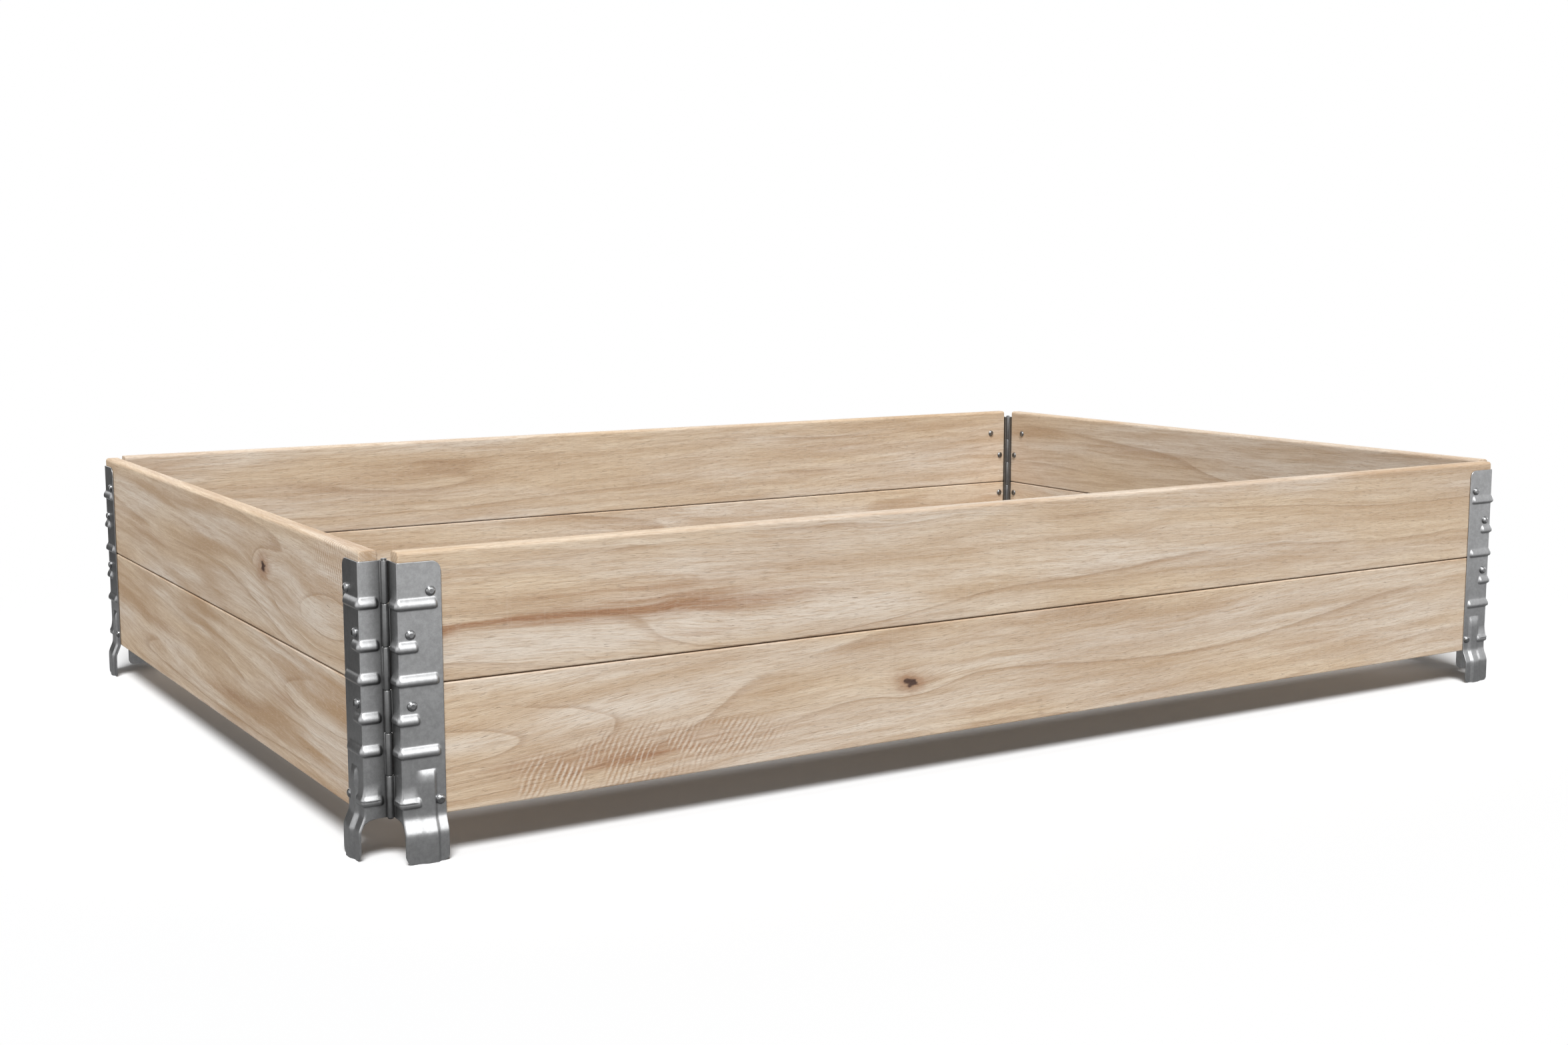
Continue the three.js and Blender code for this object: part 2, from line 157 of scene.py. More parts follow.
# Knuckles round the pin
AXIS_ALONG = -3.8
AXIS_IN = 17.0
KNUCKLE_RADIUS = 2.6
KNUCKLE_COUNT = 6
KNUCKLE_TOP = LEAF_TOP + 0.7
KNUCKLE_PITCH = (KNUCKLE_TOP - LEAF_BOTTOM) / KNUCKLE_COUNT
KNUCKLE_GAP = 0.3
ROLL_START = 2.0
ROLL_LEAD = 2.2  # the sheet leaves the flange this far before its edge
ROLL_END = 342.0
ROLL_STEPS = 44
LEAD_STEPS = 3

# Rounding of a knuckle's ends: distance from the end, and share of the sheet's thickness there
KNUCKLE_RIM = ((0.0, 0.25), (0.12, 0.6), (0.3, 0.86), (0.55, 1.0))

# Rivet and pin
RIVET_RADIUS = 3.7
RIVET_FLAT = 1.6
RIVET_HEIGHT = 2.45
RIVET_LIP = 0.3
RIVET_SHANK = 2.0
TAIL_RADIUS = 3.6
TAIL_HEIGHT = 1.8
TAIL_LIP = 0.3
PIN_RADIUS = 1.3
PIN_HEAD_RADIUS = 2.25
PIN_HEAD_HEIGHT = 0.9
PIN_HEAD_FLAT = 0.9
PIN_HEAD_LIP = 0.3
PEEN_RADIUS = 2.0
PEEN_HEIGHT = 0.6
PEEN_FLAT = 0.6
PEEN_LIP = 0.1
DOME_START = 28.0  # degrees from the axis, where a head's rounding leaves its flat
DOME_STEPS = 12
FLAT_RINGS = (0.4, 0.95)  # rings on the flat, as shares of its radius
FLAT_DROP = 0.01
TURNED_SIDES = 40
HEAD_CREASE = 40.0  # degrees, past which an edge of a pin or rivet stays sharp


def smooth(low, high, value):
    """Rises from 0 at low to 1 at high, level at both ends."""
    t = np.clip((value - low) / (high - low), 0, 1)
    return t * t * (3 - 2 * t)


def grid_faces(rows, columns, closed=False):
    """Four-sided faces of points that are numbered row by row. Closed joins the last column
    to the first."""
    across = columns if closed else columns - 1
    r, c = np.meshgrid(np.arange(rows - 1), np.arange(across), indexing="ij")
    after = (c + 1) % columns
    here, above = r * columns, (r + 1) * columns
    corners = (here + c, here + after, above + after, above + c)
    return np.stack(corners, -1).reshape(-1, 4)


def fan_faces(ring, middle):
    """Triangles from each side of a closed ring to one middle point."""
    return np.stack((ring, np.roll(ring, -1), np.full(len(ring), middle)), -1)


def outward(points, groups):
    """The faces of a closed shell, turned about if the volume that they enclose, summed over
    the tetrahedra from the origin to each triangle, is negative."""
    volume = 0.0
    for faces in groups:
        first = points[faces[:, 0]]
        for i in range(1, faces.shape[1] - 1):
            volume += np.sum(first * np.cross(points[faces[:, i]], points[faces[:, i + 1]]))
    return groups if volume > 0 else [faces[:, ::-1] for faces in groups]


def joined(shells):
    """Several shells as one list of points and one list of faces."""
    points, faces, count = [], [], 0
    for shell_points, groups in shells:
        for group in outward(shell_points, groups):
            faces += (group + count).tolist()
        points.append(shell_points)
        count += len(shell_points)
    return np.concatenate(points), faces


def add_piece(name, shells, material, wall, node, crease=180.0):
    """A named piece that rides on its wall and stands for its CAD node."""
    points, faces = joined(shells)
    mesh = bpy.data.meshes.new(name)
    mesh.from_pydata(points.tolist(), [], faces)
    mesh.polygons.foreach_set("use_smooth", np.ones(len(mesh.polygons), bool))
    mesh.set_sharp_from_angle(angle=math.radians(crease))
    mesh.materials.append(material)
    piece = bpy.data.objects.new(name, mesh)
    bpy.context.scene.collection.objects.link(piece)
    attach(piece, f"{wall}_wall")
    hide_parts(node)
    return piece


def place(points, origin, along, inward):
    """Points given along the wall, inwards and up, in millimetres, set at their origin."""
    axes = np.stack((along, inward, UP))
    return origin + points @ axes * MM


def wall_axes(wall):
    """The wall's way along and way in."""
    return (np.array(way, float) for way in WALLS[wall][2:])


def board_place(board, along, inward):
    """The lowest outer corner at the start of a board, and its size along, inwards and up."""
    low, high = (np.array(corner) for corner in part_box(board))
    size = np.abs(np.stack((along, inward, UP)) @ (high - low))
    middle = (low + high) / 2
    origin = middle - (along * size[0] + inward * size[1] + UP * size[2]) / 2
    return origin, size / MM


def board_outline(thickness, height, top_radius, inset):
    """Inwards and up: a rectangle with a quarter circle at each corner, drawn in by the inset,
    and with a point a little way along each straight side so that the sides shade flat."""
    radii = np.array((ARRIS_RADIUS, ARRIS_RADIUS, top_radius, top_radius))
    centres = np.array((
        (ARRIS_RADIUS, ARRIS_RADIUS),
        (thickness - ARRIS_RADIUS, ARRIS_RADIUS),
        (thickness - top_radius, height - top_radius),
        (top_radius, height - top_radius),
    ))
    start = np.radians((180.0, 270.0, 0.0, 90.0))
    turn = np.concatenate(([0], np.linspace(0, math.pi / 2, ARRIS_STEPS + 1), [math.pi / 2]))
    lean = np.concatenate(([-SIDE_LEAD], np.zeros(ARRIS_STEPS + 1), [SIDE_LEAD]))
    angle = start[:, None] + turn
    spoke = np.stack((np.cos(angle), np.sin(angle)), -1)
    side = np.stack((-np.sin(angle), np.cos(angle)), -1)
    points = centres[:, None] + spoke * (radii - inset)[:, None, None] + side * lean[:, None]
    return points.reshape(-1, 2)


def board_shell(length, thickness, height, top_radius):
    """The board's outline carried along its length, drawn in by a quarter circle at both ends
    and closed by a fan."""
    ease = np.linspace(0, math.pi / 2, BEVEL_RINGS)
    bevel_at = END_BEVEL * (1 - np.sin(ease))[::-1]
    bevel_in = END_BEVEL * (1 - np.cos(ease))[::-1]
    middle = np.linspace(END_LEAD, length - END_LEAD, BOARD_RINGS)
    stations = np.concatenate((bevel_at, middle, length - bevel_at[::-1]))
    insets = np.concatenate((bevel_in, np.zeros(len(middle)), bevel_in[::-1]))
    sections = [board_outline(thickness, height, top_radius, inset) for inset in insets]
    rings = np.stack([
        np.column_stack((np.full(len(section), at), section))
        for at, section in zip(stations, sections)
    ])
    centre = np.array((0.0, thickness / 2, height / 2))
    caps = [
        ring * (1 - END_DRAW) + (centre + (at, 0, 0)) * END_DRAW
        for ring, at in ((rings[0], stations[0]), (rings[-1], stations[-1]))
    ]
    rings = np.concatenate(([caps[0]], rings, [caps[1]]))
    count, around = rings.shape[:2]
    ends = np.stack((centre, centre + (length, 0, 0)))
    points = np.concatenate((rings.reshape(-1, 3), ends))
    first = np.arange(around)
    last = first + (count - 1) * around
    groups = [
        grid_faces(count, around, closed=True),
        fan_faces(first[::-1], count * around),
        fan_faces(last, count * around + 1),
    ]
    return points, groups


def eased(value, ease):
    """The value where it is positive and 0 where it is negative, rounded in between."""
    return (value + np.sqrt(value * value + ease * ease)) / 2


def joggle_at(level):
    """How far the foot has stepped outwards at a level: a straight slope with rounded ends,
    from nothing at the boards' lower edge to the whole step on the foot."""
    slope = eased(level - JOGGLE_LOW, JOGGLE_EASE) - eased(level - JOGGLE_HIGH, JOGGLE_EASE)
    return JOGGLE * (1 - slope / (JOGGLE_HIGH - JOGGLE_LOW))


def rib_rise(run, level):
    """Height pressed out of the sheet, from the distance run past the bend and the level.
    A rib's section is one less a power of the distance from its crest, over a long upper and
    a short lower slope, and less a power of the distance run into its end. The lowest rib has
    a hollow slope above it."""
    flange_end = -(BEND * math.pi / 2) - (FLANGE_EDGE - RIB_MARGIN - SKIN - BEND)
    total = np.zeros(np.broadcast(run, level).shape)
    for rib_level, reach in RIBS:
        over = level - rib_level - RIB_CREST
        upper = np.maximum(over / RIB_UPPER, 0) ** RIB_UPPER_POWER
        lower = np.maximum(-over / RIB_LOWER, 0) ** RIB_LOWER_POWER
        inside = np.minimum(reach - BEND_START - run, run - flange_end)
        past = np.maximum(1 - inside / RIB_END, 0) ** RIB_END_POWER
        total = np.maximum(total, eased(RIB_RISE * (1 - upper - lower - past), RIB_ROOT))
    lowest, reach = RIBS[-1]
    down = np.clip(1 - (level - lowest) / COVE_LENGTH, 0, 1)
    cove = COVE_RISE * down ** COVE_POWER * (level > lowest)
    cove = cove * (1 - smooth(reach - COVE_PLATE_END, reach, run + BEND_START))
    cove = cove * smooth(flange_end, flange_end + COVE_FLANGE_END, run)
    met = (total ** MEET_POWER + cove ** MEET_POWER) ** (1 / MEET_POWER)
    return np.maximum(RIB_LIMIT - eased(RIB_LIMIT - met, RIB_EASE), 0)


def bead_rise(along, level):
    """Height of the foot's bead: a steep flank towards the free edge, a long one towards the
    bend, and a top that leaves the plate at an edge and levels out."""
    across = (1 - smooth(BEAD_RIGHT[1], BEAD_RIGHT[0], along)) * smooth(*BEAD_LEFT, along)
    down = np.clip((BEAD_TOP - level) / BEAD_TIP, 0, 1)
    return BEAD_RISE * across * (1 - (1 - down) ** BEAD_TIP_POWER)


def leaf_levels():
    """Row levels: close together over the ribs and the joggle, wide apart between them."""
    ribs = [np.arange(level - RIB_ROWS, level + RIB_ROWS, ROW_PITCH) for level, _ in RIBS]
    foot = np.arange(*FOOT_ROWS, 2 * ROW_PITCH)
    joggle = np.arange(JOGGLE_LOW - JOGGLE_ROWS, JOGGLE_HIGH + JOGGLE_ROWS, ROW_PITCH)
    bead = np.arange(BEAD_TOP - BEAD_ROWS[0], BEAD_TOP + BEAD_ROWS[1], ROW_PITCH)
    ground = np.arange(0, GROUND_ROWS, ROW_PITCH)
    top = LEAF_TOP - np.arange(0, TOP_ROWS, ROW_PITCH)
    wide = np.arange(0, LEAF_TOP, WIDE_PITCH)
    levels = np.concatenate((*ribs, foot, joggle, bead, ground, top, wide))
    steps = np.unique(np.round(levels / ROW_PITCH)) * ROW_PITCH
    inside = (steps > 0) & (steps < LEAF_TOP - ROW_PITCH / 2)
    return np.concatenate(([EDGE_ROUND], steps[inside], [LEAF_TOP]))


def cut_corner(distance, radius):
    """How far a round corner of this radius cuts in at a distance from the side."""
    near = np.clip(radius - distance, 0, radius)
    return radius - np.sqrt(radius * radius - near * near)


def web_edge(levels):
    """The flange's lower and free edge, inwards and up, for each row: the web's hollow curve
    first, then straight inwards below the boards, then up along the knuckles."""
    foot, curved, turned, level_with = WEB_LEVELS
    t = np.clip((levels - foot) / (curved - foot), 0, 1)
    first, second, third = (1 - t) ** 2, 2 * t * (1 - t), t * t
    tip_in = SKIN + BEND - joggle_at(foot) + WEB_TIP
    curve_in = first * tip_in + second * (SKIN - WEB_HOLLOW) + third * WEB_START
    curve_up = first * (foot + WEB_TIP) + second * (LEAF_BOTTOM - WEB_SAG) + third * LEAF_BOTTOM
    straight = np.clip((levels - curved) / (turned - curved), 0, 1)
    edge_in = curve_in + straight * (FLANGE_EDGE - WEB_START)
    rise = np.clip((levels - turned) / (level_with - turned), 0, 1)
    edge_up = curve_up + rise * (level_with - LEAF_BOTTOM)
    return edge_in, np.where(levels > level_with, levels, edge_up)


def leaf_sides():
    """Outer and inner side of a leaf as grids of rows up and columns across: the plate from
    its free edge, a quarter circle round the board's end, and the flange. Each place is moved
    out of the sheet by the height of the ribs and the bead, and below the boards by the
    joggle. The inner side lies one sheet thickness behind."""
    levels = leaf_levels()[:, None]
    plate = np.arange(LEAF_REACH, BEND_START + PLATE_PITCH / 2, -PLATE_PITCH)
    turn = np.linspace(0, math.pi / 2, BEND_COLUMNS)
    share = np.linspace(0, 1, FLANGE_COLUMNS + 1)[1:]

    base_along = np.concatenate((plate, BEND_START - BEND * np.sin(turn)))
    low = np.maximum(
        cut_corner(LEAF_REACH - base_along, FOOT_OUTER_CORNER),
        cut_corner(base_along - FLANGE_SKIN, FOOT_INNER_CORNER),
    )
    high = LEAF_TOP - cut_corner(LEAF_REACH - base_along, TOP_CORNER)
    from_ground = np.clip(levels / CORNER_ZONE, 0, 1)
    from_top = np.clip((LEAF_TOP - levels) / CORNER_ZONE, 0, 1)
    up = levels + low * (1 - from_ground) - (LEAF_TOP - high) * (1 - from_top)

    edge_in, edge_up = web_edge(levels)
    bend_up = up[:, -1:]
    bend_in = SKIN + BEND - joggle_at(bend_up)
    flange_in = bend_in + share * (edge_in - bend_in)
    flange_up = bend_up + share * (edge_up - bend_up)

    quarter = BEND * math.pi / 2
    run = np.concatenate((plate - BEND_START, -BEND * turn))[None, :] + 0 * levels
    run = np.concatenate((run, -quarter - (flange_in - SKIN - BEND)), 1)
    up = np.concatenate((up, flange_up), 1)
    rise = rib_rise(run, up)
    bead = bead_rise(run + BEND_START, up)
    rise = (rise ** MEET_POWER + bead ** MEET_POWER) ** (1 / MEET_POWER)

    tuck = FLANGE_TUCK * smooth(*FLANGE_TUCK_RUN, flange_in)
    plates, bends = len(plate), len(plate) + len(turn)
    sides = []
    for offset in (0.0, SHEET):
        height = rise - offset
        step = joggle_at(up)
        along = np.empty_like(up)
        inwards = np.empty_like(up)
        along[:, :plates] = plate
        inwards[:, :plates] = SKIN - step[:, :plates] - height[:, :plates]
        radius = BEND + height[:, plates:bends]
        along[:, plates:bends] = BEND_START - radius * np.sin(turn)
        inwards[:, plates:bends] = SKIN + BEND - step[:, plates:bends] - radius * np.cos(turn)
        along[:, bends:] = FLANGE_SKIN - height[:, bends:] + tuck
        inwards[:, bends:] = flange_in
        sides.append(np.stack((along, inwards, up), -1))
    kept = np.ones((len(levels) - 1, up.shape[1] - 1), bool)
    kept[levels[:-1, 0] < WEB_LEVELS[0], bends - 1:] = False
    return sides[0], sides[1], kept


def sheet_shell(outer, inner, kept):
    """A closed shell from two sides of a sheet and the cells that are kept. Each edge that
    belongs to one cell only gets a rim of two faces with a rounded middle line."""
    rows, columns = outer.shape[:2]
    faces = grid_faces(rows, columns)[kept.ravel()]
    used = np.unique(faces)
    number = np.full(rows * columns, -1)
    number[used] = np.arange(len(used))
    faces = number[faces]
    outer, inner = outer.reshape(-1, 3)[used], inner.reshape(-1, 3)[used]
    count = len(used)

    edges = np.concatenate([faces[:, (i, (i + 1) % 4)] for i in range(4)])
    keys = edges[:, 0] * count + edges[:, 1]
    free = edges[~np.isin(keys, edges[:, 1] * count + edges[:, 0])]

    middle = (outer + inner) / 2
    centres = middle[faces].mean(1)
    total = np.zeros((count, 3))
    share = np.zeros((count, 1))
    for i in range(4):
        np.add.at(total, faces[:, i], centres)
        np.add.at(share, faces[:, i], 1)
    rim = np.unique(free)
    away = middle[rim] - total[rim] / share[rim]
    through = outer[rim] - inner[rim]
    through /= np.linalg.norm(through, axis=1, keepdims=True)
    away -= through * np.sum(away * through, 1, keepdims=True)
    away /= np.linalg.norm(away, axis=1, keepdims=True)
    rounded = middle[rim] + away * EDGE_ROUND
    spot = np.full(count, -1)
    spot[rim] = np.arange(len(rim)) + 2 * count

    a, b = free[:, 0], free[:, 1]
    rim_outer = np.stack((b, a, spot[a], spot[b]), -1)
    rim_inner = np.stack((spot[b], spot[a], a + count, b + count), -1)
    points = np.concatenate((outer, inner, rounded))
    return points, [faces, faces[:, ::-1] + count, rim_outer, rim_inner]


def knuckle_shell(top):
    """One knuckle: the sheet's section along a path that leaves the flange and rolls round the
    pin, carried up between two levels and thinned at both, so that its edges are eased."""
    middle = KNUCKLE_RADIUS - SHEET / 2
    angle = np.radians(np.linspace(ROLL_START, ROLL_END, ROLL_STEPS))
    arc = np.stack((AXIS_ALONG + middle * np.cos(angle), AXIS_IN + middle * np.sin(angle)), -1)
    start = np.array((FLANGE_SKIN + SHEET / 2, FLANGE_EDGE - ROLL_LEAD))
    lead = start + np.linspace(0, 1, LEAD_STEPS + 1)[:-1, None] * (arc[0] - start)
    path = np.concatenate((lead, arc))
    tangent = np.gradient(path, axis=0)
    tangent /= np.linalg.norm(tangent, axis=1, keepdims=True)
    normal = np.stack((-tangent[:, 1], tangent[:, 0]), -1)
    low = top - KNUCKLE_PITCH + KNUCKLE_GAP / 2
    high = top - KNUCKLE_GAP / 2
    from_end, thick = np.array(KNUCKLE_RIM).T
    stations = np.concatenate((low + from_end, (high - from_end)[::-1]))
    widths = np.concatenate((thick, thick[::-1])) * SHEET
    left = path + normal * widths[:, None, None] / 2
    right = path - normal * widths[:, None, None] / 2
    ring = np.concatenate((right, left[:, ::-1]), 1)
    heights = np.broadcast_to(stations[:, None, None], ring.shape[:2] + (1,))
    points = np.concatenate((ring, heights), -1).reshape(-1, 3)
    around, count = ring.shape[1], len(stations)
    i = np.arange(len(path) - 1)
    cap = np.stack((i, i + 1, around - 2 - i, around - 1 - i), -1)
    walls = grid_faces(count, around, closed=True)
    return points, [walls, cap[:, ::-1], cap + (count - 1) * around]


def turned_shell(profile, origin, axis, across):
    """A profile of distances along an axis and radii, turned round that axis, with a point on
    the axis at both ends."""
    axis, across = np.array(axis, float), np.array(across, float)
    third = np.cross(axis, across)
    profile = np.array(profile, float)
    angle = np.arange(TURNED_SIDES) * 2 * math.pi / TURNED_SIDES
    spoke = np.cos(angle)[:, None] * across + np.sin(angle)[:, None] * third
    rings = profile[:, :1, None] * axis + profile[:, 1:, None] * spoke
    ends = profile[(0, -1), :1] * axis
    points = origin + np.concatenate((rings.reshape(-1, 3), ends)) * MM
    count = len(profile)
    first = np.arange(TURNED_SIDES)
    last = first + (count - 1) * TURNED_SIDES
    groups = [
        grid_faces(count, TURNED_SIDES, closed=True),
        fan_faces(first[::-1], count * TURNED_SIDES),
        fan_faces(last, count * TURNED_SIDES + 1),
    ]
    return points, groups


def dome(radius, flat, height, lip):
    """Distances from the seat and radii of a head: a quarter ellipse from a flat on top out to
    the head's edge, and a short straight lip down to the seat."""
    angle = np.radians(np.linspace(DOME_START, 90, DOME_STEPS))
    out = flat + (radius - flat) * (np.sin(angle) - math.sin(angle[0])) / (1 - math.sin(angle[0]))
    rise = lip + (height - lip) * np.cos(angle) / math.cos(angle[0])
    inner, outer = (flat * ring for ring in FLAT_RINGS)
    out = np.concatenate(([inner, outer], out, [radius]))
    rise = np.concatenate(([height, height - FLAT_DROP], rise, [0.0]))
    return np.stack((rise, out), -1)


def rivet_profile(depth):
    """Head, shank and spread tail of a rivet, from the top of the head inwards over its whole
    depth."""
    head = dome(RIVET_RADIUS, RIVET_FLAT, RIVET_HEIGHT, RIVET_LIP)
    tail = dome(TAIL_RADIUS, RIVET_FLAT, TAIL_HEIGHT, TAIL_LIP)[::-1]
    head[:, 0] = RIVET_HEIGHT - head[:, 0]
    tail[:, 0] = depth - TAIL_HEIGHT + tail[:, 0]
    shank = [(RIVET_HEIGHT, RIVET_SHANK), (depth - TAIL_HEIGHT, RIVET_SHANK)]
    return np.concatenate((head, shank, tail))


def pin_profile(length):
    """Peened lower end, shank and head of a pin, from its lower end up."""
    peen = dome(PEEN_RADIUS, PEEN_FLAT, PEEN_HEIGHT, PEEN_LIP)
    head = dome(PIN_HEAD_RADIUS, PIN_HEAD_FLAT, PIN_HEAD_HEIGHT, PIN_HEAD_LIP)[::-1]
    peen[:, 0] = PEEN_HEIGHT - peen[:, 0]
    head[:, 0] = length - PIN_HEAD_HEIGHT + head[:, 0]
    shank = [(PEEN_HEIGHT, PIN_RADIUS), (length - PIN_HEAD_HEIGHT, PIN_RADIUS)]
    return np.concatenate((peen, shank, head))


class Shade:
    """A socket of a material's node tree that takes part in sums as a number does."""

    def __init__(self, tree, socket=None):
        self.tree, self.socket = tree, socket

    def node(self, kind, inputs, output=0, **settings):
        """A new node: its settings first, then a value or a link for each input."""
        made = self.tree.nodes.new(kind)
        for name, value in settings.items():
            setattr(made, name, value)
        for name, value in inputs.items():
            if isinstance(value, Shade):
                self.tree.links.new(value.socket, made.inputs[name])
            else:
                made.inputs[name].default_value = value
        return Shade(self.tree, made.outputs[output] if made.outputs else None)

    def math(self, operation, *values):
        """One operation on values, of which at least one is a shade."""
        return self.node("ShaderNodeMath", dict(enumerate(values)), operation=operation)

    def __add__(self, other):
        return self.math("ADD", self, other)

    def __sub__(self, other):
        return self.math("SUBTRACT", self, other)

    def __rsub__(self, other):
        return self.math("SUBTRACT", other, self)

    def __mul__(self, other):
        return self.math("MULTIPLY", self, other)

    def __truediv__(self, other):
        return self.math("DIVIDE", self, other)

    def __pow__(self, other):
        return self.math("POWER", self, other)

    __radd__ = __add__
    __rmul__ = __mul__

    def step(self, low, high):
        """Rises smoothly from 0 at low to 1 at high."""
        inputs = {0: self, 1: low, 2: high, 3: 0.0, 4: 1.0}
        return self.node("ShaderNodeMapRange", inputs, interpolation_type="SMOOTHSTEP")

    def between(self, first, second):
        """A colour from first, where this is 0, to second, where it is 1."""
        inputs = {0: self, 6: first, 7: second}
        return self.node("ShaderNodeMix", inputs, output=2, data_type="RGBA")

    def dot(self, vector):
        """How far this place lies along a vector."""
        inputs = {0: self, 1: vector}
        return self.node("ShaderNodeVectorMath", inputs, output=1, operation="DOT_PRODUCT")

    def vector(self, x, y, z):
        """Three values as one place."""
        return self.node("ShaderNodeCombineXYZ", {0: x, 1: y, 2: z})

    def noise(self, x, y, z, detail=2.0, roughness=0.5):
        """Smooth noise from 0 to 1 with one bump to each unit of x, y and z."""
        inputs = {"Vector": self.vector(x, y, z), "Detail": detail, "Roughness": roughness}
        return self.node("ShaderNodeTexNoise", {**inputs, "Scale": 1.0})


def colour(red, green, blue):
    """A solid colour, from three linear shares of light."""
    return (red, green, blue, 1.0)


def new_material(name):
    """An empty material, and a shade to build its nodes on."""
    material = bpy.data.materials.new(name)
    material.use_nodes = True
    tree = material.node_tree
    tree.nodes.clear()
    return material, Shade(tree)


def surface(shade, inputs):
    """Ends a material in a Principled surface with these inputs."""
    made = shade.node("ShaderNodeBsdfPrincipled", inputs)
    shade.node("ShaderNodeOutputMaterial", {"Surface": made})


def object_place(shade):
    """The place on a piece in the frame's own metres."""
    return shade.node("ShaderNodeTexCoord", {}, output=3)


# Colours of the wood
CREAM = colour(0.80, 0.64, 0.462)
COOL = colour(0.84, 0.738, 0.625)
TAN = colour(0.51, 0.337, 0.198)
RUST = colour(0.38, 0.193, 0.098)
LINE = colour(0.34, 0.188, 0.098)
PORE = colour(0.265, 0.155, 0.09)
HEART = colour(0.07, 0.033, 0.021)

# Grain: bumps to the metre along and across, times the board's seed, detail and roughness
GRAIN = {
    "cloud": (4.5, 60, 3, 3.0, 0.5),
    "streak": (8, 210, 1, 3.0, 0.6),
    "fibre": (30, 800, 1, 3.0, 0.65),
    "fuzz": (130, 2000, 1, 3.0, 0.6),
    "pore": (95, 2300, 1, 1.0, 0.5),
    "speck": (60, 600, 1, 1.0, 0.5),
}

# Share of each layer in the wood's colour
CALM_SHARE = 0.8  # what a pale place takes from the cloud, the streaks and the rings
CLOUD_SHARE = 0.38
STREAK_SHARE = 0.42
RING_SHARE = (0.06, 0.20)  # everywhere, and more where the rings show
CLOSE_SHARE = 0.10
LINE_SHARE = 0.38
STROKE_SHARE = 0.50
FIBRE_SHARE = 0.50
FUZZ_DARK_SHARE = 0.36
FUZZ_PALE_SHARE = 0.40
PLANE_SHARE = 0.07
PORE_SHARE = 0.26
SPECK_SHARE = 0.24
BLUSH_SHARE = 0.62
END_SHARE = (0.12, 0.55)  # all over the sawn end, and more on its growth layers

# How far the slow noise, the waves and the shiver sway the grain, in metres, and the flecks, in
# strokes
SWAY_ALONG = (0.06, 0.012)
SWAY_UP = (0.013, 0.0020, 0.0006)
SWAY_FLECKS = (2.5, 0.7, 0.25)

RING_DEPTH = 0.8  # how fast the rings rise into the board
RING_DRIFT = 1.6  # in rings
NOSE_LIFT = 0.008  # how far a nose of depth 1 bends the grain, in metres
KNOT_CORE = (0.30, 0.55)  # shares of a knot's length and tallness
FLECK_SPACING = 0.0044
FLECK_BREAKS = 55  # to the metre
LAYER_SPACING = 0.0034
END_DEPTH = (0.0009, 0.0002)  # end grain sets in over these distances from the end
WOOD_ROUGHNESS = 0.58
WOOD_IOR = 1.45
WOOD_BUMP = {"Strength": 0.60, "Distance": 0.0004}

# Zinc: bumps to the metre of its patches, clouds and grain, and the painted shade of the recess
# round the pins, which is also rougher there
PATCH, CLOUD, SPANGLE = 300, 60, 1500
ZINC_RANGE = (0.36, 0.62)
ZINC_BUMP = {"Strength": 0.10, "Distance": 0.0002}
PIN_PLACE = (0.583, 0.383)  # distance of each pin from the middle of the frame, both ways
PIN_SHADE = colour(0.07, 0.07, 0.068)
PIN_SHADE_REACH = (0.002, 0.017)
PIN_SHADE_SHARE = 0.62
PIN_DULL = 0.10


def hump(a, u, at, height, long, tall):
    """A hill of height 1 round a place on the board: e to the minus squared distance, measured
    in its length along and its tallness."""
    x, y = (a - at) / long, (u - height) / tall
    return a.math("EXPONENT", (x * x + y * y) * -1.0)


